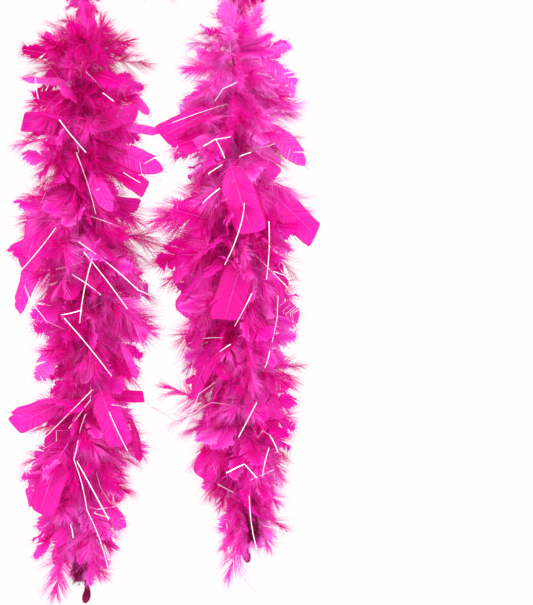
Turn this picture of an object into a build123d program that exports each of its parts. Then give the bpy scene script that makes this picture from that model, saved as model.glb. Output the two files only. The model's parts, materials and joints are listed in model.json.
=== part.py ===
from build123d import *
from math import cos, floor, pi, radians, sin, tan
import os

# Feather boa, draped as it is worn: over the back of the neck, with a tail hanging down each side of the
# chest. The wearer faces -Y, and +Z is up. The origin is on the axis of the wearer's neck, level with the core
# cord where it crosses the nape.
# A limp core cord runs from one end of the boa to the other. Its twist grips whorls of feathers, most of them
# soft downy plumes and every few a whorl of broad vaned feathers, and flat strips of metallised tinsel. Each
# end is whipped with thread, wrapped in a knot, and finished with a small stopper knot.

# Core cord
core_diameter = 5.0
core_radius = core_diameter / 2
hinge_gap = 3.0            # each cord stops this far from a shoulder hinge, so that its end can turn there
bend_share = 0.45          # share of the shorter run that an arc of the cord takes

# Feathers. Each is one flat convex blade, with a narrow quill end in the cord's twist and a round tip.
blade_thickness = 1.5
quill_start = 2.0          # distance from the cord's middle
quill_width = 2.0
plume_length = 78.0
plume_tip_radius = 15.5
vane_length = 90.0
vane_tip_radius = 17.5
whorl_pitch = 25.0
feathers_per_whorl = 6
plume_whorls_per_vane_whorl = 3
vane_place = 2             # the vaned whorl's place in each such run of whorls
vane_lean_share = 0.65     # a vaned feather is stiffer, so it leans less than a plume

# How the feathers lean and shorten along the boa
tail_lean = 35.0           # degrees towards the strand's end
end_lean = 62.0
neck_lean = 8.0
neck_share = 0.74          # a neck feather's length as a share of a tail feather's
end_share = 0.62
end_taper = 130.0          # the stretch over which the feathers shorten at each end
bare_end = 34.0            # cord past the last whorl, which carries the knots
bare_at_hinge = 13.0       # cord with no whorl, each side of a shoulder hinge
turn_per_whorl = 30.0      # degrees about the cord from one whorl to the next
turn_jitter = 7.0
turn_cycle = 3             # whorls after which the jitter, and the tinsel's place among the feathers, repeat
whorls_from_neck = 2       # whorls over which a tail's feathers grow from the neck's length to their own
wearer_below = 0.8         # the wearer's shoulders lie below the neck stretch by this much for 1 inwards

# Tinsel strips
tinsel_width = 1.8
tinsel_thickness = 0.3
tinsel_length = 86.0
tinsel_below = 3.0         # distance along the cord from a whorl to its tinsel

# Ends
thread_radius = 0.9
whipping_turns = 6
whipping_start = 6.0       # distance past the last whorl
knot_turns = 3
knot_length = 17.0
knot_barrel_radius = 4.5
stopper_length = 18.0
stopper_radius = 5.4
stopper_neck_radius = core_radius + 1
stopper_widest = 0.6       # where the stopper knot is widest, as a share of its length

# The cord's route, in three stretches that meet at the shoulder hinges
left_hinge = (-91, -79, -122)
right_hinge = (90, -80, -126)
neck_route = [
    left_hinge, (-92, -74, -88), (-95, -48, -62), (-97, -10, -44), (-91, 30, -27), (-70, 67, -13),
    (-38, 91, -4), (2, 99, 0), (40, 90, -5), (71, 65, -15), (91, 28, -30), (96, -12, -47), (94, -49, -66),
    (91, -75, -92), right_hinge,
]
left_route = [
    left_hinge, (-93, -81, -160), (-98, -83, -222), (-101, -85, -290), (-99, -86, -355), (-91, -85, -420),
    (-84, -83, -482), (-86, -82, -545), (-94, -83, -607), (-100, -84, -668), (-101, -83, -725),
    (-98, -82, -767), (-93, -81, -796), (-92, -81, -816),
]
right_route = [
    right_hinge, (91, -82, -163), (95, -84, -222), (97, -86, -288), (93, -87, -352), (92, -86, -416),
    (97, -85, -478), (103, -84, -540), (105, -84, -600), (103, -85, -657), (105, -86, -700), (109, -86, -735),
    (108, -85, -765),
]

# Feathers are grouped into nodes by where they grow
plume_section = 94.0       # length of tail whose plumes share a node
sections_per_band = 2      # vaned feathers and tinsel share a node over this many sections
neck_plume_sections = 5
neck_vane_sections = 2


def cord_path(route):
    """Straight runs joined by tangent arcs, and the arcs' radii."""
    points = [Vector(*p) for p in route]
    radii = []
    for before, at, after in zip(points, points[1:], points[2:]):
        run_in = at - before
        run_out = after - at
        turn = radians(run_in.get_angle(run_out))
        radii.append(bend_share * min(run_in.length, run_out.length) / tan(turn / 2))
    return FilletPolyline(*points, radius=radii), radii


def place_on(path, distance):
    """The point and the direction of a path at a distance from its start."""
    point = path.position_at(distance, position_mode=PositionMode.LENGTH)
    direction = path.tangent_at(distance, position_mode=PositionMode.LENGTH)
    return point, direction


def cord(name, path, start, end):
    """The round cord between two distances along its path."""
    stretch = path.trim(start / path.length, end / path.length)
    profile = Plane(origin=stretch @ 0, z_dir=stretch % 0) * Circle(core_radius)
    solid = sweep(profile, path=stretch)
    section_times_length = pi * core_radius**2 * stretch.length
    share = solid.volume / section_times_length
    print(name, "length", round(stretch.length, 1), "volume share", round(share, 4))
    return solid


def blade(length, tip_radius):
    """A feather along +X, flat in XY, with straight sides from the quill to the tip's arc."""
    middle = length - tip_radius
    slope = (tip_radius - quill_width / 2) / (middle - quill_start)
    side_end = (middle - tip_radius * slope, tip_radius * (1 - slope**2) ** 0.5)
    other_side_end = (side_end[0], -side_end[1])
    half_quill = quill_width / 2
    outline = Polyline(other_side_end, (quill_start, -half_quill), (quill_start, half_quill), side_end)
    outline += ThreePointArc(side_end, (length, 0), other_side_end)
    return extrude(make_face(outline), amount=blade_thickness / 2, both=True).solid()


def strip(length):
    """A tinsel strip along +X."""
    run = length - quill_start
    return (Pos(quill_start + run / 2, 0, 0) * Box(run, tinsel_width, tinsel_thickness)).solid()


def grown(solid, point, direction, towards_end, lean):
    """The solid moved to grow out of the cord in a direction, leaning towards the strand's end."""
    along = direction * cos(radians(lean)) + towards_end * sin(radians(lean))
    side = towards_end.cross(direction)
    return solid.moved(Plane(origin=point, x_dir=along, z_dir=along.cross(side)).location)


def directions_around(towards_end, count, turn):
    """Evenly spaced unit vectors square to the cord, the first turned by so many degrees from the front."""
    across = towards_end.cross(Vector(0, -1, 0)).normalized()
    front = across.cross(towards_end).normalized()
    for i in range(count):
        angle = radians(turn + i * 360 / count)
        yield front * cos(angle) + across * sin(angle)


def points_at_wearer(direction, point):
    """Whether a direction from the neck stretch goes towards the wearer's neck and shoulders."""
    inwards = Vector(-point.X, -point.Y, 0).normalized()
    return direction.dot(inwards + Vector(0, 0, -wearer_below)) > 0


def whorl(number, point, towards_end, share, lean, worn=False, ending=False):
    """One ring of feathers, the tinsel between them, and whether the feathers are vaned."""
    place_in_cycle = number % (plume_whorls_per_vane_whorl + 1)
    vaned = place_in_cycle == vane_place and not ending
    if vaned:
        feather = blade(vane_length * share, vane_tip_radius * share)
        lean *= vane_lean_share
    else:
        feather = blade(plume_length * share, plume_tip_radius * share)
    tinsel = strip(tinsel_length * share)
    place_in_turn = number % turn_cycle
    turn = turn_per_whorl * number + turn_jitter * place_in_turn
    feathers = []
    strips = []
    for i, direction in enumerate(directions_around(towards_end, 2 * feathers_per_whorl, turn)):
        if worn and points_at_wearer(direction, point):
            continue
        if i % 2 == 0:
            feathers.append(grown(feather, point, direction, towards_end, lean))
        elif place_in_cycle != vane_place - 1 and i % feathers_per_whorl == 1 + 2 * place_in_turn:
            strips.append(grown(tinsel, point + towards_end * tinsel_below, direction, towards_end, lean))
    return vaned, feathers, strips


def neck_whorls(path):
    """The whorls from one shoulder over the nape to the other, and how far along each one is, from 0 to 1."""
    half = path.length / 2
    each_side = floor((half - bare_at_hinge) / whorl_pitch)
    for number in range(2 * each_side + 1):
        steps = number - each_side
        point, tangent = place_on(path, half + steps * whorl_pitch)
        towards_end = tangent if steps >= 0 else tangent * -1
        lean = neck_lean * abs(steps) / each_side
        yield number / (2 * each_side + 1), whorl(number, point, towards_end, neck_share, lean, worn=True)


def tail_whorls(path):
    """The whorls down a tail, and how far down each one is."""
    last = path.length - bare_end
    for number in range(floor((last - bare_at_hinge) / whorl_pitch) + 1):
        distance = bare_at_hinge + number * whorl_pitch
        point, towards_end = place_on(path, distance)
        near_end = max(0.0, 1 - (last - distance) / end_taper)
        near_hinge = max(0.0, 1 - number / whorls_from_neck)
        share = 1 - (1 - end_share) * near_end - (1 - neck_share) * near_hinge
        lean = tail_lean + (end_lean - tail_lean) * near_end
        yield distance, whorl(number, point, towards_end, share, lean, ending=near_end > 0)


def whipping(path, distance):
    """Turns of thread side by side round the cord."""
    turns = []
    for i in range(whipping_turns):
        point, direction = place_on(path, distance + 2 * thread_radius * i)
        ring = Torus(core_radius + thread_radius, thread_radius).solid()
        turns.append(ring.moved(Plane(origin=point, z_dir=direction).location))
    return turns


def wrapped_knot(path, distance):
    """A barrel knot, which is the cord wrapped round itself."""
    point, direction = place_on(path, distance)
    barrel = knot_length - core_diameter
    knot = Cylinder(knot_barrel_radius, barrel)
    for i in range(knot_turns):
        height = barrel * (i / (knot_turns - 1) - 0.5)
        knot += Pos(0, 0, height) * Torus(core_diameter, core_radius)
    knot -= Cylinder(core_radius, 2 * knot_length)
    return knot.solid().moved(Plane(origin=point, z_dir=direction).location)


def stopper_knot(path):
    """The small tight knot that the cord ends in, wider at its middle than at the cord."""
    point, direction = place_on(path, path.length)
    top = (stopper_neck_radius, 0)
    widest = (stopper_radius, stopper_length * stopper_widest)
    tip = (0, stopper_length)
    outline = Polyline(top, (0, 0), tip) + Spline(tip, widest, top, tangents=[(1, 0), (-0.4, -1)])
    knot = revolve(Plane.XZ * make_face(outline), axis=Axis.Z)
    return knot.solid().moved(Plane(origin=point, z_dir=direction).location)


def write(name, solids):
    export_step(Compound(children=list(solids)), f"parts/{name}.step")


def add(groups, name, solids):
    if solids:
        groups.setdefault(name, []).extend(solids)


os.makedirs("parts", exist_ok=True)
groups = {}

neck_path, neck_radii = cord_path(neck_route)
print("neck bend radii", [round(r) for r in neck_radii])
write("core_cord_neck", [cord("neck cord", neck_path, hinge_gap, neck_path.length - hinge_gap)])
for how_far, (vaned, feathers, strips) in neck_whorls(neck_path):
    kind = f"vaned_feathers_neck_{floor(how_far * neck_vane_sections) + 1}"
    if not vaned:
        kind = f"plumes_neck_{floor(how_far * neck_plume_sections) + 1}"
    add(groups, kind, feathers)
    add(groups, "tinsel_neck", strips)

for side, route in {"left": left_route, "right": right_route}.items():
    path, radii = cord_path(route)
    print(side, "bend radii", [round(r) for r in radii])
    write(f"core_cord_{side}", [cord(f"{side} cord", path, hinge_gap, path.length)])
    for distance, (vaned, feathers, strips) in tail_whorls(path):
        section = floor(distance / plume_section)
        band = section // sections_per_band + 1
        kind = f"vaned_feathers_{side}_{band}" if vaned else f"plumes_{side}_{section + 1}"
        add(groups, kind, feathers)
        add(groups, f"tinsel_{side}_{band}", strips)
    write(f"end_whipping_{side}", whipping(path, path.length - bare_end + whipping_start))
    write(f"end_knot_{side}", [wrapped_knot(path, path.length - knot_length / 2)])
    write(f"stopper_knot_{side}", [stopper_knot(path)])

for name, solids in groups.items():
    write(name, solids)
feather_count = sum(len(solids) for solids in groups.values())
print(len(os.listdir("parts")), "nodes,", feather_count, "feathers and strips")
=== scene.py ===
# Feather boa: dyed plumes, flat vaned feathers and silver tinsel on a limp twisted cord
import json
import math
import bpy
import numpy as np
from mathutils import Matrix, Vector


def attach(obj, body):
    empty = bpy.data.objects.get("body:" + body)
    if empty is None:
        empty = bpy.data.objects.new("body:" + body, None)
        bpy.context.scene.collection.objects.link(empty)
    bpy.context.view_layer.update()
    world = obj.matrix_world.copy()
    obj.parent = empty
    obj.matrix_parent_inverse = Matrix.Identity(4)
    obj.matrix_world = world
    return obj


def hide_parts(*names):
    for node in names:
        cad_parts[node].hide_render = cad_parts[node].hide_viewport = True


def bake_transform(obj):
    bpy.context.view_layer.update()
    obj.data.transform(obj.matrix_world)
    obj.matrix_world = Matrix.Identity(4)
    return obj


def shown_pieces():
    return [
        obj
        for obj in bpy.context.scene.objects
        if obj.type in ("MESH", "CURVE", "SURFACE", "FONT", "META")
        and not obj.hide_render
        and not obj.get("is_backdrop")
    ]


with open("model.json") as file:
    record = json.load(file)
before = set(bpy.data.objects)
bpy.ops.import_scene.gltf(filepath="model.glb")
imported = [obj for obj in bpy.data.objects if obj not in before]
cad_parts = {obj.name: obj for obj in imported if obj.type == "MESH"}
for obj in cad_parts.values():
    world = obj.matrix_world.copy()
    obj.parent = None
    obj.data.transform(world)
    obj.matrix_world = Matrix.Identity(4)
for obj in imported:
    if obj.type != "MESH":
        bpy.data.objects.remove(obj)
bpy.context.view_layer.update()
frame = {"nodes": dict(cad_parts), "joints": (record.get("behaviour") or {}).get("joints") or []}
scene = bpy.context.scene
scene.view_settings.view_transform = "Standard"  # keeps the dye as saturated as it is


cameraSettings = {
    "aim": (0.133, -0.08, -0.463),
    "distance": 3.2,
    "pictureHeight": 0.756,  # metres of the boa's plane that the picture takes in
    "sensor": 36.0,
}


def makeCamera(s):
    data = bpy.data.cameras.new("camera")
    data.sensor_width = s["sensor"]
    data.lens = s["sensor"] * s["distance"] / s["pictureHeight"]
    camera = bpy.data.objects.new("camera", data)
    scene.collection.objects.link(camera)
    camera.location = Vector(s["aim"]) + Vector((0, -s["distance"], 0))
    camera.rotation_euler = (math.radians(90), 0, 0)
    scene.camera = camera


makeCamera(cameraSettings)
print("camera made")


# The cord's route in millimetres, in three stretches that meet at the shoulders

mm = 0.001
routes = {
    "neck": [
        (-91, -79, -122), (-92, -74, -88), (-95, -48, -62), (-97, -10, -44), (-91, 30, -27),
        (-70, 67, -13), (-38, 91, -4), (2, 99, 0), (40, 90, -5), (71, 65, -15),
        (91, 28, -30), (96, -12, -47), (94, -49, -66), (91, -75, -92), (90, -80, -126),
    ],
    "left": [
        (-91, -79, -122), (-93, -81, -160), (-98, -83, -222), (-101, -85, -290), (-99, -86, -355),
        (-91, -85, -420), (-84, -83, -482), (-86, -82, -545), (-94, -83, -607), (-100, -84, -668),
        (-101, -83, -725), (-98, -82, -767), (-93, -81, -796), (-92, -81, -816),
    ],
    "right": [
        (90, -80, -126), (91, -82, -163), (95, -84, -222), (97, -86, -288), (93, -87, -352),
        (92, -86, -416), (97, -85, -478), (103, -84, -540), (105, -84, -600), (103, -85, -657),
        (105, -86, -700), (109, -86, -735), (108, -85, -765),
    ],
}


def makeRoute(name, points):
    data = bpy.data.curves.new(name + "Route", "CURVE")
    data.dimensions = "3D"
    data.resolution_u = 12
    spline = data.splines.new("NURBS")
    spline.points.add(len(points) - 1)
    for at, p in zip(spline.points, points):
        at.co = (*(v * mm for v in p), 1)
    spline.order_u = 3
    spline.use_endpoint_u = True
    route = bpy.data.objects.new(name + "Route", data)
    scene.collection.objects.link(route)
    return route


def readRoute(route):
    bpy.context.view_layer.update()
    line = bpy.data.meshes.new_from_object(route)
    points = np.array([v.co[:] for v in line.vertices])
    bpy.data.meshes.remove(line)
    return points


def lineLength(line):
    return float(np.linalg.norm(np.diff(line, axis=0), axis=1).sum())


routeCurves = {name: makeRoute(name, points) for name, points in routes.items()}
routeLines = {name: readRoute(route) for name, route in routeCurves.items()}
lengths = {name: lineLength(line) for name, line in routeLines.items()}
print("routes made", {name: round(v, 3) for name, v in lengths.items()})


class NodeTree:  # a geometry node tree with named inputs, ending in one mesh
    def __init__(self, name):
        self.tree = bpy.data.node_groups.new(name, "GeometryNodeTree")
        self.tree.interface.new_socket("Geometry", in_out="OUTPUT", socket_type="NodeSocketGeometry")
        self.source = self.tree.nodes.new("NodeGroupInput")
        self.result = self.tree.nodes.new("NodeGroupOutput")

    def inputs(self, kinds):
        for kind, names in kinds.items():
            for name in names:
                self.tree.interface.new_socket(name, in_out="INPUT", socket_type="NodeSocket" + kind)
        return self.source.outputs

    def node(self, kind, inputs=None, **settings):
        made = self.tree.nodes.new(kind)
        for key, value in settings.items():
            setattr(made, key, value)
        for key, value in (inputs or {}).items():
            if isinstance(value, bpy.types.NodeSocket):
                self.tree.links.new(value, made.inputs[key])
            else:
                made.inputs[key].default_value = value
        return made

    def math(self, operation, a, b=0.0, c=0.0):
        return self.node("ShaderNodeMath", {0: a, 1: b, 2: c}, operation=operation).outputs[0]

    def mix(self, a, b, factor):
        return self.math("ADD", a, self.math("MULTIPLY", self.math("SUBTRACT", b, a), factor))

    def vector(self, operation, a, b=(0, 0, 0)):
        made = self.node("ShaderNodeVectorMath", {0: a, 1: b}, operation=operation)
        return made.outputs["Value" if operation == "DOT_PRODUCT" else "Vector"]

    def scaled(self, a, factor):
        made = self.node("ShaderNodeVectorMath", {0: a, "Scale": factor}, operation="SCALE")
        return made.outputs["Vector"]

    def random(self, low, high, seed):
        made = self.node("FunctionNodeRandomValue", {2: low, 3: high, "Seed": seed}, data_type="FLOAT")
        return made.outputs[1]

    def finish(self, geometry, material):
        realized = self.node("GeometryNodeRealizeInstances", {0: geometry}).outputs[0]
        painted = self.node("GeometryNodeSetMaterial", {0: realized, "Material": material}).outputs[0]
        self.tree.links.new(painted, self.result.inputs[0])
        return self.tree


def runTree(tree, name, values):
    piece = bpy.data.objects.new(name, bpy.data.meshes.new(name))
    scene.collection.objects.link(piece)
    modifier = piece.modifiers.new(tree.name, "NODES")
    modifier.node_group = tree
    for item in tree.interface.items_tree:
        if item.in_out == "INPUT" and values.get(item.name) is not None:
            modifier[item.identifier] = values[item.name]
    bpy.context.view_layer.update()
    graph = bpy.context.evaluated_depsgraph_get()
    plain = bpy.data.meshes.new_from_object(
        piece.evaluated_get(graph), preserve_all_data_layers=True, depsgraph=graph
    )
    piece.modifiers.clear()
    piece.data = plain
    return piece


strandInputs = {
    "Object": ("Route",),
    "Material": ("Material",),
    "Int": ("Strands",),
    "Float": (
        "Start", "End", "Step", "Strand Offset", "Bulge", "Bulge Lowness", "Strand Radius", "Twist Pitch",
    ),
}
strandSides = 7


# Twisted strands that follow a stretch of a route, swollen at its middle, or lower with a lowness over 1
def makeStrandTree():
    t = NodeTree("twistedStrands")
    given = t.inputs(strandInputs)
    curve = t.node("GeometryNodeObjectInfo", {"Object": given["Route"]}).outputs["Geometry"]
    evenInputs = {"Curve": curve, "Length": given["Step"]}
    even = t.node("GeometryNodeResampleCurve", evenInputs, mode="LENGTH").outputs[0]
    partInputs = {0: even, 4: given["Start"], 5: given["End"]}
    part = t.node("GeometryNodeTrimCurve", partInputs, mode="LENGTH").outputs[0]
    copyInputs = {"Geometry": part, "Amount": given["Strands"]}
    copies = t.node("GeometryNodeDuplicateElements", copyInputs, domain="SPLINE").outputs
    place = t.node("GeometryNodeSplineParameter").outputs
    share = t.math("DIVIDE", copies["Duplicate Index"], given["Strands"])
    turns = t.math("ADD", t.math("DIVIDE", place["Length"], given["Twist Pitch"]), share)
    angle = t.math("MULTIPLY", turns, 2 * math.pi)
    tangent = t.node("GeometryNodeInputTangent").outputs[0]
    turn = t.node("FunctionNodeAxisAngleToRotation", {"Axis": tangent, "Angle": angle}).outputs[0]
    normal = t.node("GeometryNodeInputNormal").outputs[0]
    outward = t.node("FunctionNodeRotateVector", {"Vector": normal, "Rotation": turn}).outputs[0]
    lowered = t.math("POWER", place["Factor"], given["Bulge Lowness"])
    swell = t.math("SINE", t.math("MULTIPLY", lowered, math.pi))
    reach = t.math("ADD", given["Strand Offset"], t.math("MULTIPLY", swell, given["Bulge"]))
    moveInputs = {"Geometry": copies[0], "Offset": t.scaled(outward, reach)}
    moved = t.node("GeometryNodeSetPosition", moveInputs).outputs[0]
    sectionInputs = {"Resolution": strandSides, "Radius": given["Strand Radius"]}
    section = t.node("GeometryNodeCurvePrimitiveCircle", sectionInputs).outputs[0]
    tubeInputs = {"Curve": moved, "Profile Curve": section, "Fill Caps": True}
    tube = t.node("GeometryNodeCurveToMesh", tubeInputs).outputs[0]
    return t.finish(tube, given["Material"])


growthInputs = {
    "Object": ("Route", "Placed"),
    "Collection": ("Shapes",),
    "Material": ("Material",),
    "Int": ("Count", "Seed"),
    "Float": (
        "Start", "End", "Size At Start", "Size At Middle", "Size At End", "Size Spread", "Lumps",
        "Lean At Start", "Lean At End", "Lean Spread", "Droop", "Roll Spread", "Towards End", "Worn",
        "Root Offset", "Half Room", "Front Room", "Longest", "Tone Shift",
    ),
}
habit = {  # how feathers grow, whatever the piece
    "turn": 2.39996,  # the golden angle, so that none lies over its neighbour
    "scatter": 0.5,  # radians off that spiral
    "slide": 0.004,  # metres along the cord
    "mostSag": 1.3,
    "faceOut": 0.35,
    "wearerBelow": 0.8,  # where the wearer's shoulders are, for 1 towards the neck
    "lumpScale": 14.0,
    "leastPointing": 0.1,
    "tones": (0.1, 0.9),
}


# Feathers or strips that grow out of a stretch of a route
def makeGrowthTree(s):
    t = NodeTree("feathersAlongCord")
    given = t.inputs(growthInputs)

    def chance(low, high, draw):
        return t.random(low, high, t.math("ADD", given["Seed"], draw))

    def clamped(value):
        return t.node("ShaderNodeClamp", {0: value}).outputs[0]

    def turned(axis, angle):
        return t.node("FunctionNodeAxisAngleToRotation", {"Axis": axis, "Angle": angle}).outputs[0]

    curve = t.node("GeometryNodeObjectInfo", {"Object": given["Route"]}).outputs["Geometry"]
    even = t.node("GeometryNodeResampleCurve", {"Curve": curve, "Length": 0.002}, mode="LENGTH").outputs[0]
    partInputs = {0: even, 4: given["Start"], 5: given["End"]}
    part = t.node("GeometryNodeTrimCurve", partInputs, mode="LENGTH").outputs[0]
    pointInputs = {"Curve": part, "Count": given["Count"]}
    points = t.node("GeometryNodeCurveToPoints", pointInputs, mode="COUNT").outputs
    tangent = points["Tangent"]
    index = t.node("GeometryNodeInputIndex").outputs[0]
    factor = t.math("DIVIDE", index, given["Count"])

    # out from the cord, in a spiral with some scatter
    angle = t.math("ADD", t.math("MULTIPLY", index, s["turn"]), chance(-s["scatter"], s["scatter"], 0))
    outwardInputs = {"Vector": points["Normal"], "Rotation": turned(tangent, angle)}
    outward = t.node("FunctionNodeRotateVector", outwardInputs).outputs[0]
    leanScatter = t.math("MULTIPLY", chance(-1.0, 1.0, 1), given["Lean Spread"])
    lean = t.math("ADD", t.mix(given["Lean At Start"], given["Lean At End"], factor), leanScatter)
    alongCord = t.scaled(t.scaled(tangent, given["Towards End"]), t.math("SINE", lean))
    heading = t.vector("ADD", t.scaled(outward, t.math("COSINE", lean)), alongCord)
    sag = t.math("MULTIPLY", chance(-s["mostSag"], 0.0, 2), given["Droop"])
    heading = t.vector("ADD", heading, t.node("ShaderNodeCombineXYZ", {"Z": sag}).outputs[0])
    upward = t.vector("ADD", (0, 0, 1), t.scaled(outward, s["faceOut"]))
    facing = t.node(
        "FunctionNodeAxesToRotation", {0: heading, 1: upward}, primary_axis="X", secondary_axis="Z"
    ).outputs[0]
    rolled = turned((1, 0, 0), t.math("MULTIPLY", chance(-1.0, 1.0, 3), given["Roll Spread"]))
    rotation = t.node(
        "FunctionNodeRotateRotation", {"Rotation": facing, "Rotate By": rolled}, rotation_space="LOCAL"
    ).outputs[0]

    # smaller where the boa rests on its wearer, and in lumps along it
    position = t.node("GeometryNodeInputPosition").outputs[0]
    level = t.vector("NORMALIZE", t.vector("MULTIPLY", position, (-1, -1, 0)))
    wearer = t.vector("ADD", level, (0, 0, -s["wearerBelow"]))
    pressed = clamped(t.vector("DOT_PRODUCT", outward, wearer))
    shrink = t.math("SUBTRACT", 1.0, t.math("MULTIPLY", pressed, given["Worn"]))
    noiseInputs = {"Vector": position, "Scale": s["lumpScale"], "Detail": 1.0}
    noise = t.node("ShaderNodeTexNoise", noiseInputs).outputs[0]
    lump = t.math("ADD", 1.0, t.math("MULTIPLY", t.math("SUBTRACT", noise, 0.5), given["Lumps"]))
    spread = t.math("SUBTRACT", 1.0, t.math("MULTIPLY", chance(0.0, 1.0, 4), given["Size Spread"]))
    twice = t.math("MULTIPLY", factor, 2.0)
    size = t.mix(given["Size At Start"], given["Size At Middle"], clamped(twice))
    size = t.mix(size, given["Size At End"], clamped(t.math("SUBTRACT", twice, 1.0)))
    size = t.math("MULTIPLY", size, t.math("MULTIPLY", spread, lump))
    size = t.math("MULTIPLY", size, shrink)

    # none so long that it would reach past the boa's width or front
    at = t.node("ShaderNodeSeparateXYZ", {0: position}).outputs
    pointing = t.node("ShaderNodeSeparateXYZ", {0: t.vector("NORMALIZE", heading)}).outputs
    sideways = t.math("MULTIPLY", pointing[0], t.math("SIGN", at[0]))
    sideRoom = t.math("SUBTRACT", given["Half Room"], t.math("ABSOLUTE", at[0]))
    frontRoom = t.math("ADD", at[1], given["Front Room"])
    for room, towards in ((sideRoom, sideways), (frontRoom, t.math("MULTIPLY", pointing[1], -1.0))):
        towards = t.math("MAXIMUM", towards, s["leastPointing"])
        longest = t.math("MULTIPLY", towards, given["Longest"])
        size = t.math("MINIMUM", size, t.math("DIVIDE", room, longest))

    slide = t.scaled(tangent, chance(-s["slide"], s["slide"], 5))
    offset = t.vector("ADD", slide, t.scaled(outward, given["Root Offset"]))
    moved = t.node("GeometryNodeSetPosition", {"Geometry": points[0], "Offset": offset}).outputs[0]
    shapeInputs = {"Collection": given["Shapes"], "Separate Children": True, "Reset Children": True}
    shapeInstances = t.node("GeometryNodeCollectionInfo", shapeInputs).outputs[0]
    pickInputs = {4: 0, 5: 1000, "Seed": t.math("ADD", given["Seed"], 6)}
    pick = t.node("FunctionNodeRandomValue", pickInputs, data_type="INT").outputs[2]
    grown = t.node("GeometryNodeInstanceOnPoints", {
        "Points": moved, "Instance": shapeInstances, "Pick Instance": True, "Instance Index": pick,
        "Rotation": rotation, "Scale": size,
    }).outputs[0]
    tone = t.math("ADD", chance(*s["tones"], 7), given["Tone Shift"])
    toneInputs = {"Geometry": grown, "Name": "tone", "Value": tone}
    toned = t.node("GeometryNodeStoreNamedAttribute", toneInputs, domain="INSTANCE").outputs[0]
    laid = t.node("GeometryNodeObjectInfo", {"Object": given["Placed"]}).outputs["Geometry"]
    both = t.node("GeometryNodeJoinGeometry")
    for geometry in (toned, laid):
        t.tree.links.new(geometry, both.inputs[0])
    return t.finish(both.outputs[0], given["Material"])


strandTree = makeStrandTree()
growthTree = makeGrowthTree(habit)
print("node trees made")


class Shader:  # a material's nodes, laid by short calls
    def __init__(self, name):
        self.material = bpy.data.materials.new(name)
        self.material.use_nodes = True
        self.nodes = self.material.node_tree.nodes
        self.links = self.material.node_tree.links
        self.surface = self.nodes["Principled BSDF"]
        self.output = self.nodes["Material Output"]

    def node(self, kind, inputs=None, **settings):
        made = self.nodes.new(kind)
        for key, value in settings.items():
            setattr(made, key, value)
        self.set(made, inputs or {})
        return made

    def set(self, node, inputs):
        for key, value in inputs.items():
            if isinstance(value, bpy.types.NodeSocket):
                self.links.new(value, node.inputs[key])
            else:
                node.inputs[key].default_value = value

    def math(self, operation, a, b=0.0):
        return self.node("ShaderNodeMath", {0: a, 1: b}, operation=operation).outputs[0]

    def ramp(self, factor, *stops):
        made = self.node("ShaderNodeValToRGB", {0: factor})
        elements = made.color_ramp.elements
        while len(elements) < len(stops):
            elements.new(0.5)
        for element, (place, colour) in zip(elements, stops):
            element.position = place
            element.color = (*colour, 1)
        return made.outputs[0]

    def mixColour(self, factor, a, b):
        return self.node("ShaderNodeMix", {0: factor, 6: a, 7: b}, data_type="RGBA").outputs[2]


dye = {
    "deep": (0.70, 0.0, 0.23),
    "body": (0.85, 0.0, 0.40),
    "bright": (0.94, 0.038, 0.62),
    "pale": (0.98, 0.30, 0.92),
    "violet": (0.90, 0.25, 1.0),
}
dyeing = {  # how much of a feather's shade comes from its own tone, from patches and from its place on the barb, whose paler tips are a painted highlight
    "tone": 0.60, "patches": 0.36, "patchScale": 18.0, "middleOfBarb": 0.4, "edgeFrom": 0.93,
    "shaftWidth": 0.05,
    "stops": {"deep": 0.06, "body": 0.34, "bright": 0.66, "pale": 0.92},
}


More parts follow.
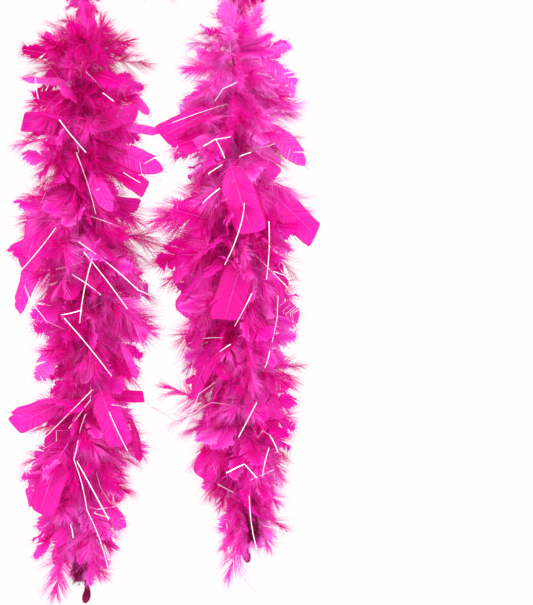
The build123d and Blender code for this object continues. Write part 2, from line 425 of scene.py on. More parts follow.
def featherMaterial(name, s):
    m = Shader(name)

    def weighted(value, middle, weight):
        return m.math("MULTIPLY", m.math("SUBTRACT", value, middle), weight)

    tone = m.node("ShaderNodeAttribute", attribute_name="tone").outputs["Fac"]
    featherMap = m.node("ShaderNodeUVMap", uv_map="featherMap").outputs[0]
    across, along = m.node("ShaderNodeSeparateXYZ", {0: featherMap}).outputs[:2]
    outOfShaft = m.math("MULTIPLY", m.math("ABSOLUTE", m.math("SUBTRACT", across, 0.5)), 2.0)
    place = m.node("ShaderNodeTexCoord").outputs["Object"]
    patchInputs = {"Vector": place, "Scale": dyeing["patchScale"], "Detail": 2.0}
    patches = m.node("ShaderNodeTexNoise", patchInputs).outputs[0]
    # each barb keeps its own shade along its length, because a barb's place along the shaft doesn't change
    barbInputs = {"W": m.math("MULTIPLY", along, s["barbs"]), "Scale": 1.0, "Detail": 2.0}
    barb = m.node("ShaderNodeTexNoise", barbInputs, noise_dimensions="1D").outputs[0]
    shade = m.math("ADD", weighted(tone, 0.0, dyeing["tone"]), weighted(patches, 0.0, dyeing["patches"]))
    # darker at the shaft, paler towards the barb tips: a painted highlight where fine barbs catch the light
    shade = m.math("ADD", shade, weighted(outOfShaft, dyeing["middleOfBarb"], s["tipLightening"]))
    shade = m.math("ADD", shade, weighted(barb, 0.5, s["barbContrast"]))
    colour = m.ramp(shade, *((stop, dye[shadeName]) for shadeName, stop in dyeing["stops"].items()))
    onShaft = m.math("LESS_THAN", outOfShaft, dyeing["shaftWidth"])
    colour = m.mixColour(m.math("MULTIPLY", onShaft, s["shaft"]), colour, (*dye["violet"], 1))
    atEdge = m.math("GREATER_THAN", outOfShaft, dyeing["edgeFrom"])
    colour = m.mixColour(m.math("MULTIPLY", atEdge, s["edge"]), colour, (*dye["deep"], 1))
    bumpInputs = {"Strength": s["relief"], "Distance": 0.0005, "Height": barb}
    bump = m.node("ShaderNodeBump", bumpInputs).outputs[0]
    m.set(m.surface, {
        "Base Color": colour, "Roughness": s["roughness"], "Normal": bump,
        "Sheen Weight": 0.02, "Sheen Roughness": 0.45, "Sheen Tint": (1.0, 0.6, 0.9, 1),
        "Specular IOR Level": s["specular"],
    })
    glow = m.node("ShaderNodeBsdfTranslucent", {"Color": colour, "Normal": bump}).outputs[0]
    mixInputs = {0: s["seeThrough"], 1: m.surface.outputs[0], 2: glow}
    mixed = m.node("ShaderNodeMixShader", mixInputs).outputs[0]
    m.links.new(mixed, m.output.inputs["Surface"])
    return m.material


downMaterial = featherMaterial("dyedDown", {
    "tipLightening": 0.34, "barbs": 300.0, "barbContrast": 0.7, "shaft": 0.8, "edge": 0.0, "relief": 0.0,
    "roughness": 0.8, "specular": 0.05, "seeThrough": 0.52,
})
vaneMaterial = featherMaterial("dyedVane", {
    "tipLightening": 0.12, "barbs": 110.0, "barbContrast": 1.1, "shaft": 0.85, "edge": 0.9, "relief": 0.6,
    "roughness": 0.5, "specular": 0.2, "seeThrough": 0.42,
})


def cordMaterial(name, deep, middle, light):
    m = Shader(name)
    place = m.node("ShaderNodeTexCoord").outputs["Object"]
    fibres = m.node("ShaderNodeTexNoise", {"Vector": place, "Scale": 900.0, "Detail": 3.0}).outputs[0]
    patches = m.node("ShaderNodeTexNoise", {"Vector": place, "Scale": 120.0}).outputs[0]
    shade = m.math("ADD", m.math("MULTIPLY", fibres, 0.6), m.math("MULTIPLY", patches, 0.4))
    colour = m.ramp(shade, (0.3, deep), (0.55, middle), (0.75, light))
    bump = m.node("ShaderNodeBump", {"Strength": 0.6, "Distance": 0.0004, "Height": fibres}).outputs[0]
    m.set(m.surface, {"Base Color": colour, "Roughness": 0.85, "Normal": bump, "Specular IOR Level": 0.1})
    return m.material


def tinselMaterial():
    m = Shader("silverTinsel")
    place = m.node("ShaderNodeTexCoord").outputs["Object"]
    creasesWithPaintedShade = m.node("ShaderNodeTexNoise", {"Vector": place, "Scale": 260.0, "Detail": 2.0}).outputs[0]
    # darker, pinkish grey where the creases sink: painted shade, tinted with a painted pink reflection of the
    # feathers
    colour = m.ramp(creasesWithPaintedShade, (0.35, (0.80, 0.72, 0.80)), (0.55, (0.99, 0.97, 0.99)))
    bump = m.node("ShaderNodeBump", {"Strength": 0.35, "Distance": 0.0005, "Height": creasesWithPaintedShade}).outputs[0]
    rough = m.math("ADD", m.math("MULTIPLY", creasesWithPaintedShade, 0.25), 0.2)
    m.set(m.surface, {"Base Color": colour, "Metallic": 0.45, "Roughness": rough, "Normal": bump})
    return m.material


crimson = {  # deep, middle and light
    "crimsonCord": ((0.08, 0.0, 0.015), (0.26, 0.003, 0.065), (0.55, 0.03, 0.20)),
    "whippingThread": ((0.11, 0.0, 0.022), (0.28, 0.004, 0.07), (0.52, 0.03, 0.18)),
}
crimsonCord, whippingThread = (cordMaterial(name, *shades) for name, shades in crimson.items())
silverTinsel = tinselMaterial()
print("materials made")


# Feather and tinsel shapes lie along +X with their faces up
class Sheet:  # gathers points, faces, feather-map places and tones
    def __init__(self):
        self.points = []
        self.faces = []
        self.places = []
        self.tones = []

    def add(self, points, faces, places, tone=0.5):
        first = len(self.points)
        self.points.extend(points)
        self.places.extend(places)
        self.tones.extend([tone] * len(points))
        self.faces.extend(tuple(first + i for i in face) for face in faces)

    def makeObject(self, name, smooth=True, toned=False):
        mesh = bpy.data.meshes.new(name)
        mesh.from_pydata(np.array(self.points).tolist(), [], self.faces)
        layer = mesh.uv_layers.new(name="featherMap")
        corners = np.array([loop.vertex_index for loop in mesh.loops], dtype=int)
        layer.data.foreach_set("uv", np.array(self.places)[corners].ravel())
        if toned:
            mesh.attributes.new("tone", "FLOAT", "POINT").data.foreach_set("value", self.tones)
        mesh.polygons.foreach_set("use_smooth", [smooth] * len(mesh.polygons))
        mesh.update()
        return bpy.data.objects.new(name, mesh)


def unit(v):
    v = np.array(v, dtype=float)
    return v / np.linalg.norm(v)


def addBarb(sheet, root, heading, length, width, curl, share, side):
    heading = unit(heading)
    across = unit(np.cross(heading, (0.15 * side, 0.1, 1.0)))
    bend = root + heading * length * 0.55 + curl * length * 0.3
    points = [root - across * width / 2, root + across * width / 2]
    points += [bend - across * width * 0.42, bend + across * width * 0.42]
    points.append(root + heading * length + curl * length)
    middle = 0.5 + side * 0.3
    places = [(0.5 + 0.06 * side, share)] * 2 + [(middle, share)] * 2 + [(0.5 + 0.5 * side, share)]
    sheet.add(points, [(0, 1, 3, 2), (2, 3, 4)], places)


shaftRise = 0.0002  # keeps a shaft just proud of its barbs
webRise = 0.0003  # and a vane's web joined to the shaft's upper side


def addShaft(sheet, length, rootRadius, tipRadius):
    rings = 7
    sides = 3
    points = []
    for i in range(rings):
        share = i / (rings - 1)
        radius = rootRadius + (tipRadius - rootRadius) * share
        for k in range(sides):
            angle = 2 * math.pi * k / sides
            y, z = radius * math.cos(angle), radius * math.sin(angle) + shaftRise
            points.append(np.array((length * share, y, z)))
    faces = [
        (i * sides + k, i * sides + (k + 1) % sides, (i + 1) * sides + (k + 1) % sides, (i + 1) * sides + k)
        for i in range(rings - 1) for k in range(sides)
    ]
    sheet.add(points, faces, [(0.5, i // sides / (rings - 1)) for i in range(rings * sides)])


downHabit = {  # how far barbs vary: leans in radians, strayAngle in degrees, the rest as shares
    "clumpLean": (-0.28, 0.28), "clumpReach": (0.75, 1.12), "reach": (0.8, 1.08),
    "curl": ((0.05, 0.3), (-0.14, 0.14), (-0.3, 0.1)),
    "strayPlace": (0.3, 0.9), "strayAngle": (15, 75), "strayLift": (-0.3, 0.8), "strayReach": (0.7, 1.1),
    "strayCurl": ((0, 0.3), (-0.3, 0.3), (-0.3, 0.1)),
    "strayPaleness": 1.5,  # how far past the tip of the feather map they read, so that the painted tip highlight makes them paler
}


def drawEach(rng, spans):
    return np.array([rng.uniform(*span) for span in spans])


# Soft barbs down both sides of a shaft, which cling together in clumps
def addDown(sheet, s, rng):
    h = downHabit
    for side in (-1, 1):
        for i in range(s["barbs"]):
            if i % s["clump"] == 0:
                clumpLean = rng.uniform(*h["clumpLean"])
                clumpLift = rng.uniform(-1, 1) * s["fluff"]
                clumpReach = rng.uniform(*h["clumpReach"])
            share = s["from"] + (s["to"] - s["from"]) * (i + rng.uniform(0, 1)) / s["barbs"]
            angle = math.radians(s["rootAngle"] + (s["tipAngle"] - s["rootAngle"]) * share) + clumpLean
            angle += rng.uniform(-1, 1) * s["scatter"]
            lift = clumpLift + rng.uniform(-2, 2) * s["scatter"]
            aside = math.sin(angle)
            heading = (math.cos(angle), side * aside * math.cos(lift), aside * math.sin(lift))
            reach = s["barbLength"] * math.sin(math.pi * (0.22 + 0.66 * share)) ** 0.6
            reach *= clumpReach * rng.uniform(*h["reach"])
            curl = drawEach(rng, h["curl"])
            root = np.array((share * s["length"], 0.0, 0.0))
            addBarb(sheet, root, heading, reach, s["barbWidth"], curl, share, side)
        for _ in range(s["strays"]):  # stray hairs, paler than the rest through a stronger painted tip highlight
            share = rng.uniform(*h["strayPlace"])
            angle = math.radians(rng.uniform(*h["strayAngle"]))
            heading = (math.cos(angle), side * math.sin(angle), rng.uniform(*h["strayLift"]))
            curl = drawEach(rng, h["strayCurl"])
            root = np.array((share * s["length"], 0.0, 0.0))
            reach = s["barbLength"] * rng.uniform(*h["strayReach"])
            addBarb(sheet, root, heading, reach, s["barbWidth"], curl, share, h["strayPaleness"] * side)


# A place on a vane's rim, from its lowest barb up its straight side and round its blunt or pointed tip
def vaneRim(s, share):
    corner = 1 - s["tipShare"]
    if share < 0.5:
        along = s["from"] + (corner - s["from"]) * 2 * share
        spread = s["footWidth"] + (1 - s["footWidth"]) * math.sin(min(1.0, 4 * share) * math.pi / 2)
    else:
        turn = (2 * share - 1) * math.pi / 2
        along = corner + s["tipShare"] * math.sin(turn) ** (2 / s["blunt"])
        spread = max(math.cos(turn), 0.0) ** (2 / s["blunt"])
    return along * s["length"], spread * s["halfWidth"]


# The flat web on both sides of a shaft, one row of points for each run of barbs, split here and there
def addVane(sheet, s, rng):
    rows = s["rows"]
    columns = np.array(s["columns"])
    for side in (-1, 1):
        splits = set()
        if s["splits"]:
            splits = set(rng.choice(np.arange(3, rows - 2), s["splits"], replace=False))
        fan = 0.0
        lift = 0.0
        reachShare = 1.0
        lastRow = None
        for j in range(rows):
            if j in splits:
                fan = rng.uniform(-1, 1) * s["fan"]
                lift = rng.uniform(-1, 1) * s["fan"]
                reachShare = rng.uniform(*s["splitReach"])
                lastRow = None
            for row in ([j - 0.8, j] if lastRow is None and j else [j]):
                rimAlong, rimOut = vaneRim(s, row / (rows - 1))
                rimAlong += s["slant"] * side * rimOut
                root = min(rimAlong - rimOut * s["barbSlope"], s["length"] * 0.995)
                along = (rimAlong - root) * math.cos(fan) + rimOut * math.sin(fan)
                out = rimOut * math.cos(fan) - (rimAlong - root) * math.sin(fan)
                jag = s["jag"] * abs(math.sin(1.1 * row + side) * math.cos(0.37 * row))
                jitter = reachShare * rng.uniform(*s["unevenness"]) * (1 - jag)
                ripple = s["ripple"] * math.sin(0.9 * row + 2 * side) + lift * rimOut
                along, out = along * jitter, side * out * jitter
                heights = ripple * columns**2 + webRise * (1 - columns)
                points = [np.array((root + along * c, out * c, z)) for c, z in zip(columns, heights)]
                share = row / (rows - 1)
                first = len(sheet.points)
                sheet.add(points, [], [(0.5 + 0.5 * side * max(c, 0.05), share) for c in columns])
                if lastRow is not None:
                    for k in range(len(columns) - 1):
                        quad = (lastRow + k, first + k, first + k + 1, lastRow + k + 1)
                        sheet.faces.append(quad if side < 0 else quad[::-1])
                lastRow = first
                if rng.uniform() < s["fray"]:
                    heading = points[-1] - points[0] + np.array((0.002, 0, rng.uniform(-0.003, 0.003)))
                    length = rng.uniform(*s["frayLength"])
                    curl = np.array((0.2, 0, 0))
                    addBarb(sheet, points[-1], heading, length, s["frayWidth"], curl, share, side)


# Bends a feather down along its shaft, cups it across, twists it and sways it to one side
def bendFeather(points, s):
    length = s["length"]
    steps = np.linspace(0, 1, 25)
    step = length * steps[1]
    angles = s["bend"] * (1 - (1 - np.minimum(1, steps / s["bendBy"])) ** 2)
    middles = (angles[1:] + angles[:-1]) / 2
    run = np.concatenate(([0], np.cumsum(np.cos(middles)))) * step
    drop = -np.concatenate(([0], np.cumsum(np.sin(middles)))) * step
    share = np.clip(points[:, 0] / length, 0, 1)
    past = points[:, 0] - share * length
    angle = np.interp(share, steps, angles)
    x, z = np.interp(share, steps, run), np.interp(share, steps, drop)
    height = points[:, 2] - s["cup"] * points[:, 1] ** 2 / cupWidth
    turn = s["twist"] * share
    y = points[:, 1] * np.cos(turn) - height * np.sin(turn)
    up = points[:, 1] * np.sin(turn) + height * np.cos(turn)
    sway = s["sway"] * share**2 * length
    x = x + past * np.cos(angle) + up * np.sin(angle)
    z = z - past * np.sin(angle) + up * np.cos(angle)
    return np.column_stack((x, y + sway, z))


cupWidth = 0.015  # distance from the shaft at which a cup of 1 drops as far again
plumes = {
    "length": 0.080, "barbs": 144, "clump": 13, "from": 0.05, "to": 0.98, "rootAngle": 80, "tipAngle": 16,
    "fluff": 1.0, "scatter": 0.1, "strays": 6, "barbLength": 0.037, "barbWidth": 0.0005, "bendBy": 1.0,
    "cup": 0.1, "bends": (0.2, 0.9, 0.5, 0.8, 0.3, 1.2, 0.6), "mostTwist": 0.7, "mostSway": 0.15,
    "shaft": (0.0006, 0.0002), "perMetre": 780,
}
frayedPlumes = {
    "rows": 25, "splits": 4, "fan": 0.2, "jag": 0.42, "fray": 0.9, "bends": (0.5, 0.9, 0.2),
    "shaft": (0.0007, 0.0002), "baseBarbs": 34, "baseTo": 0.6,
}
vanes = {
    "length": 0.088, "rows": 19, "from": 0.16, "footWidth": 0.3, "fan": 0.12, "halfWidth": 0.0165,
    "tipShare": 0.24, "barbSlope": 0.75, "ripple": 0.0012, "jag": 0.0, "fray": 0.15, "bendBy": 0.6,
    "cup": 0.18, "mostTwist": 0.7, "mostSway": 0.12, "shaft": (0.0008, 0.0002), "shaftShare": 0.98,
    "columns": (0.0, 0.4, 0.75, 1.0), "splitReach": (0.84, 1.04), "unevenness": (0.975, 1.02),
    "frayLength": (0.003, 0.009), "frayWidth": 0.0007, "perMetre": 165, "size": 0.86,
    "kinds": {  # how blunt, how wide, slant, splits, bend
        "broad": (4.5, 1.08, 0.10, 0, 0.7),
        "angular": (6.0, 0.98, 0.35, 1, 1.2),
        "cut": (7.0, 1.0, -0.25, 0, 0.4),
        "round": (2.6, 0.95, 0.0, 1, 1.0),
        "pointed": (1.5, 0.85, 0.1, 2, 0.9),
        "narrow": (2.4, 0.45, 0.1, 0, 0.8),
        "limp": (3.6, 1.05, 0.0, 2, 1.6),
        "split": (3.2, 1.0, 0.15, 5, 0.5),
    },
}
baseDown = {
    "length": 0.080, "barbs": 30, "clump": 6, "from": 0.04, "to": 0.45, "rootAngle": 82, "tipAngle": 30,
    "fluff": 0.7, "scatter": 0.14, "strays": 0, "barbLength": 0.026, "barbWidth": 0.00055,
}
shapeSheets = {}  # every feather shape by name, for laying single feathers one by one


def makeShape(name, sheet, s, collection):
    sheet.points = list(bendFeather(np.array(sheet.points), s))
    shapeSheets[name] = sheet
    collection.objects.link(sheet.makeObject(name))


def drawPosture(s, rng):
    s["twist"] = rng.uniform(-s["mostTwist"], s["mostTwist"])
    s["sway"] = rng.uniform(-s["mostSway"], s["mostSway"])
    return s


def makePlumes():
    shapes = bpy.data.collections.new("plumeShapes")
    for i, bend in enumerate(plumes["bends"]):
        rng = np.random.default_rng(100 + i)
        s = drawPosture(dict(plumes, bend=bend), rng)
        s["length"] *= 0.88 + 0.04 * i
        sheet = Sheet()
        addShaft(sheet, s["length"], *s["shaft"])
        addDown(sheet, s, rng)
        makeShape(f"plume{i}", sheet, s, shapes)
    for i, bend in enumerate(frayedPlumes["bends"]):  # a vane that has come apart into pointed tufts
        rng = np.random.default_rng(150 + i)
        s = dict(vanes, **frayedPlumes, bend=bend, blunt=2.6, slant=0.1, twist=0.3, sway=0.0)
        s["halfWidth"] *= 0.85 + 0.12 * i
        sheet = Sheet()
        addShaft(sheet, s["length"], *s["shaft"])
        addVane(sheet, s, rng)
        addDown(sheet, dict(baseDown, barbs=s["baseBarbs"], to=s["baseTo"]), rng)
        makeShape(f"frayed{i}", sheet, s, shapes)
    return shapes


def makeVanes():
    shapes = bpy.data.collections.new("vaneShapes")
    for i, (name, (blunt, wide, slant, splits, bend)) in enumerate(vanes["kinds"].items()):
        rng = np.random.default_rng(200 + i)
        s = drawPosture(dict(vanes, blunt=blunt, slant=slant, splits=splits, bend=bend), rng)
        s["halfWidth"] *= wide
        sheet = Sheet()
        addShaft(sheet, s["length"] * s["shaftShare"], *s["shaft"])
        addVane(sheet, s, rng)
        addDown(sheet, baseDown, rng)
        makeShape(name, sheet, s, shapes)
    return shapes


tinsel = {
    "width": 0.0010, "laidWidths": (0.0009, 0.0013), "bow": 0.035, "thickness": 0.00025, "rootRun": 0.042,
    "lying": 0.062, "rows": 12, "perMetre": 52, "mostCurve": 0.5, "bendOver": (0.9, 1.4), "mostTurn": 1.2,
    "kinks": (None, (0.72, 0.6), None, (0.68, -0.5), (0.8, 1.6), None),  # place along it, and turn there
}


# A flat strip along a line of points, turning slowly about it
def addStrip(sheet, line, facing, turns, s):
    points = []
    for i, at in enumerate(line):
        tangent = unit(np.array(line[min(i + 1, len(line) - 1)]) - np.array(line[max(i - 1, 0)]))
        level = unit(np.cross(tangent, facing))
        raised = np.cross(level, tangent)
        across = (level * math.cos(turns[i]) + raised * math.sin(turns[i])) * s["width"] / 2
        up = unit(np.cross(across, tangent)) * s["thickness"] / 2
        points += [at - across - up, at + across - up, at + across + up, at - across + up]
    last = 4 * (len(line) - 1)
    faces = [(3, 2, 1, 0), tuple(last + k for k in range(4))]
    for j in range(0, last, 4):
        faces += [(j + k, j + (k + 1) % 4, j + 4 + (k + 1) % 4, j + 4 + k) for k in range(4)]
    sheet.add(points, faces, [(0.5, 0.5)] * len(points))


def makeTinsel(s):
    shapes = bpy.data.collections.new("tinselShapes")
    for i, kink in enumerate(s["kinks"]):
        rng = np.random.default_rng(300 + i)
        length = s["rootRun"] + s["lying"] * (0.8 + 0.08 * i)
        step = length / (s["rows"] - 1)
        curve = rng.uniform(-s["mostCurve"], s["mostCurve"]) / s["rows"]
        at = np.zeros(3)
        heading = 0.0
        kinked = laidOver = False
        line = [at]
        for j in range(1, s["rows"]):
            share = j / (s["rows"] - 1)
            if not laidOver and share * length > s["rootRun"]:
                heading += rng.uniform(*s["bendOver"])  # to lie along the feathers
                laidOver = True
            if kink and not kinked and share >= kink[0]:
                heading += kink[1]
                kinked = True
            at = at + np.array((math.cos(heading), 0.0, -math.sin(heading))) * step
            heading += curve
            line.append(at)
        turns = np.linspace(0, rng.uniform(-s["mostTurn"], s["mostTurn"]), len(line))
        sheet = Sheet()
        addStrip(sheet, line, (0.3, 0.0, 1.0), turns, s)
        shapes.objects.link(sheet.makeObject(f"tinsel{i}", smooth=False))
    return shapes


plumeShapes = makePlumes()
vaneShapes = makeVanes()
tinselShapes = makeTinsel(tinsel)


bodies = {"neck": "neck", "left": "left_tail", "right": "right_tail"}
hinges = {joint["child"]: Vector(joint["pos_m"]) for joint in frame["joints"]}


def bendAtShoulder(piece):
    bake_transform(piece)


# The limp core cord, three twisted strands along each stretch
coreCord = {
    "Step": 0.0011, "Strands": 3, "Strand Offset": 0.00118, "Bulge": 0.0, "Bulge Lowness": 1.0,
    "Strand Radius": 0.00138, "Twist Pitch": 0.016,
}


def makeCord(side, s):
    values = dict(s, Route=routeCurves[side], Material=crimsonCord, Start=0.0, End=lengths[side])
    piece = runTree(strandTree, "coreCord" + side.capitalize(), values)
    if side == "neck":
        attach(piece, "neck")
    else:
        bendAtShoulder(piece)
    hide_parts("core_cord_" + side)


for side in routes:
    makeCord(side, coreCord)
print("cords made")


# Feathers that stand out from the rest, laid one by one: the middle of the quill (X, Z) and the tip (X, Y, Z)
# in millimetres, the kind of feather, its tone from deep to pale, and how far its face turns from the front
placedFeathers = {
    "left": [
        ((-88, -141), (-90, -95, -90), "round", 0.5, 0.2),
        ((-124, -170), (-141, -92, -126), "pointed", 0.5, -0.3),
        ((-112, -190), (-170, -90, -184), "narrow", 0.9, 0.2),
        ((-62, -186), (-14, -100, -228), "narrow", 0.8, 0.4),
        ((-66, -172), (-58, -105, -212), "pointed", 0.1, 0.2),
        ((-84, -246), (-27, -110, -226), "angular", 0.5, 0.1),
        ((-62, -246), (-2, -95, -251), "narrow", 0.7, -0.4),
        ((-70, -270), (3, -100, -299), "pointed", 0.6, 0.3),
        ((-66, -284), (-17, -105, -322), "cut", 0.55, 0.2),
        ((-138, -371), (-189, -90, -398), "narrow", 0.4, 0.2),
        ((-136, -336), (-165, -110, -420), "broad", 0.5, -0.4),
        ((-148, -404), (-177, -100, -470), "angular", 0.6, -0.2),
        ((-124, -590), (-180, -98, -616), "cut", 0.5, -0.1),
        ((-126, -582), (-183, -92, -600), "narrow", 0.5, 0.3),
        ((-138, -650), (-161, -100, -715), "pointed", 0.7, -0.5),
        ((-116, -646), (-146, -128, -721), "broad", 0.35, -0.2),
        ((-42, -604), (-24, -110, -658), "narrow", 0.0, 0.9),
        ((-74, -708), (-42, -110, -741), "pointed", 0.6, 0.2),
        ((-82, -305), (-57, -150, -351), "pointed", 0.65, 0.0),
        ((-72, -572), (-46, -142, -637), "broad", 0.35, 0.1),
        ((-50, -512), (-28, -118, -556), "narrow", 0.75, 0.3),
        ((-58, -580), (-20, -105, -579), "cut", 0.1, -0.5),
        ((-116, -764), (-129, -100, -824), "plume3", 0.55, -0.2),
        ((-124, -735), (-156, -98, -781), "frayed0", 0.6, -0.3),
        ((-88, -436), (-20, -120, -500), "plume1", 0.8, 0.1),
        ((-122, -500), (-152, -100, -560), "frayed2", 0.8, -0.3),
        ((-81, -160), (-71, -95, -112), "plume2", 0.0, 0.1),
        ((-102, -160), (-110, -95, -116), "plume0", 0.05, -0.1),
        ((-69, -172), (-44, -95, -145), "plume4", 0.0, 0.2),
        ((-90, -148), (-87, -95, -100), "plume1", 0.1, 0.0),
    ],
    "right": [
        ((96, -141), (80, -95, -88), "frayed2", 1.0, -0.1),
        ((106, -143), (125, -92, -97), "frayed1", 0.95, 0.2),
        ((122, -155), (164, -92, -144), "frayed0", 0.95, 0.1),
        ((126, -162), (170, -95, -192), "frayed1", 0.9, 0.3),
        ((77, -172), (47, -92, -150), "pointed", 0.95, -0.2),
        ((102, -188), (54, -125, -192), "plume1", 0.85, -0.1),
        ((72, -222), (4, -98, -256), "cut", 0.35, -0.1),
        ((70, -258), (26, -112, -276), "round", 0.85, -0.2),
        ((132, -240), (180, -98, -292), "pointed", 0.75, 0.4),
        ((88, -292), (115, -152, -376), "broad", 0.45, 0.0),
        ((122, -314), (193, -100, -378), "cut", 0.5, 0.15),
        ((68, -372), (18, -100, -432), "angular", 0.5, -0.3),
        ((68, -420), (26, -104, -474), "broad", 0.5, -0.2),
        ((70, -452), (38, -106, -518), "round", 0.4, -0.3),
        ((106, -400), (82, -154, -482), "cut", 0.2, 0.0),
        ((118, -398), (152, -118, -462), "narrow", 0.5, 0.3),
        ((70, -522), (42, -108, -577), "angular", 0.35, -0.3),
        ((84, -618), (52, -122, -677), "broad", 0.3, -0.1),
        ((84, -654), (54, -108, -694), "frayed1", 0.85, -0.3),
        ((108, -742), (86, -98, -798), "plume0", 0.8, -0.1),
        ((98, -726), (80, -92, -768), "plume1", 0.8, 0.1),
        ((122, -724), (136, -92, -768), "plume4", 0.7, 0.1),
        ((76, -545), (32, -98, -562), "frayed0", 0.1, -0.1),
        ((120, -548), (148, -118, -606), "split", 0.55, 0.2),
        ((62, -334), (-3, -100, -362), "plume2", 0.8, 0.0),
        ((60, -588), (8, -100, -568), "plume4", 0.4, 0.2),
        ((97, -148), (85, -95, -95), "plume2", 1.0, 0.1),
        ((106, -148), (122, -95, -102), "plume0", 0.95, -0.1),
        ((87, -172), (50, -95, -150), "plume4", 1.0, -0.2),
    ],
}


laying = {
    "largest": 1.15,  # most that a feather is enlarged
    "overlap": 1.1,  # so that its quill's foot is hidden
    "rootForward": 0.6,  # how far towards its tip, in Y, a feather leaves the cord's depth
    "faceUp": 0.25,
    "stripRise": 0.068,  # how far in front of the cord the strips lie, at the boa's middle
    "stripClear": 0.006,
    "boaHalfWidth": 0.1,
    "stripFoot": 0.03,  # how far in among the feathers a strip starts
}


def quillTip(name):
    s = shapeSheets[name]
    shaftEnd = max(range(21), key=lambda i: s.points[i][0])  # a shape's first points are its shaft's
    return np.array(s.points[shaftEnd])


def layFeather(sheet, side, quill, tip, name, tone, turn):
    cordLine = routeLines[side]
    nearest = cordLine[np.argmin(np.abs(cordLine[:, 2] - quill[1] * mm))]
    tip = np.array(tip) * mm
    forward = laying["rootForward"] * (min(tip[1], nearest[1]) - nearest[1])
    root = np.array((quill[0] * mm, nearest[1] + forward, quill[1] * mm))
    shape = shapeSheets[name]
    reach = quillTip(name)
    forward = unit(reach)
    sideways = unit(np.cross((0, 0, 1), forward))
    own = np.column_stack((forward, sideways, np.cross(forward, sideways)))
    heading = unit(tip - root)
    face = np.array((math.sin(turn), -math.cos(turn), laying["faceUp"]))
    across = unit(np.cross(face, heading))
    laid = np.column_stack((heading, across, np.cross(heading, across)))
    reach = np.linalg.norm(reach)
    size = min(laying["overlap"] * np.linalg.norm(tip - root) / reach, laying["largest"])
    start = tip - heading * reach * size
    points = np.array(shape.points) @ own @ laid.T * size + start
    sheet.add(list(points), shape.faces, shape.places, tone)


# Strips that lie over the feathers, by their ends and bends (X, Z) in millimetres
placedTinsel = {
    "left": [
        [(-99, -280), (-75, -355)], [(-120, -240), (-87, -280)], [(-124, -372), (-170, -425)],
        [(-96, -389), (-24, -448), (-9, -455)], [(-90, -401), (-37, -471)], [(-79, -407), (-95, -488)],
        [(-104, -429), (-69, -454)], [(-24, -306), (2, -310)], [(-42, -304), (-22, -316)],
        [(-114, -482), (-56, -553)], [(-80, -570), (-140, -630)], [(-56, -588), (-38, -591), (-21, -589)],
        [(-59, -597), (-37, -645)], [(-97, -632), (-102, -654), (-86, -716), (-61, -785)],
        [(-98, -657), (-71, -707), (-60, -728)], [(-77, -720), (-58, -726)], [(-106, -734), (-103, -750)],
        [(-150, -189), (-146, -214)], [(-67, -207), (-54, -217)], [(-118, -478), (-92, -472)],
        [(-88, -600), (-95, -622)],
    ],
    "right": [
        [(97, -194), (80, -202), (70, -217)], [(56, -272), (70, -264), (89, -261)],
        [(100, -285), (114, -280)], [(71, -264), (82, -287)], [(62, -306), (79, -295)],
        [(76, -324), (55, -342)], [(106, -342), (102, -367), (82, -417)], [(136, -364), (133, -435)],
        [(142, -425), (156, -430), (166, -442)], [(115, -452), (94, -492)],
        [(147, -455), (146, -482), (140, -511)], [(56, -507), (80, -506)], [(89, -514), (76, -523)],
        [(137, -522), (131, -543)], [(121, -585), (99, -627)], [(150, -310), (170, -320)],
        [(137, -625), (147, -646)], [(136, -641), (128, -676)], [(84, -671), (106, -660), (121, -677)],
        [(112, -699), (121, -764)], [(33, -614), (44, -590), (50, -575), (70, -560)],
        [(-42, -573), (-10, -593), (22, -610), (32, -613)],
    ],
}


def layStrip(sheet, side, line, rng):
    cordLine = routeLines[side]
    points = []
    for x, z in line:
        nearest = cordLine[np.argmin(np.abs(cordLine[:, 2] - z * mm))]
        aside = min(abs(x * mm - nearest[0]) / laying["boaHalfWidth"], 1.0)
        rise = laying["stripRise"] * math.sqrt(1 - aside**2) + laying["stripClear"]
        points.append(np.array((x * mm, nearest[1] - rise, z * mm)))
    path = [points[0] + np.array((0, laying["stripFoot"], 0))]
    bow = rng.uniform(-1, 1) * tinsel["bow"]
    for before, after in zip([path[0]] + points, points):
        leg = after - before
        bowed = np.array((leg[2], 0, -leg[0])) * bow
        for share in (0.25, 0.5, 0.75, 1.0):
            path.append(before + leg * share + bowed * math.sin(math.pi * share))
    start = rng.uniform(-0.5, 0.5)
    turns = np.linspace(start, start + rng.uniform(-0.9, 0.9), len(path))
    addStrip(sheet, path, (0.2, -1.0, 0.3), turns, dict(tinsel, width=rng.uniform(*tinsel["laidWidths"])))


handLaid = {"vaned_feathers": placedFeathers, "tinsel": placedTinsel}


def gatherPlaced(kind, side, start, end):
    top = hinges[bodies[side]].z
    sheet = Sheet()
    for i, placed in enumerate(handLaid.get(kind, {}).get(side, [])):
        if not start <= top - placed[0][1] * mm < end:
            continue
        if kind == "tinsel":
            layStrip(sheet, side, placed, np.random.default_rng(400 + i))
        else:
            layFeather(sheet, side, *placed)
    if not sheet.faces:
        return None
    laid = sheet.makeObject("laid", smooth=kind != "tinsel", toned=True)
    scene.collection.objects.link(laid)
    return laid


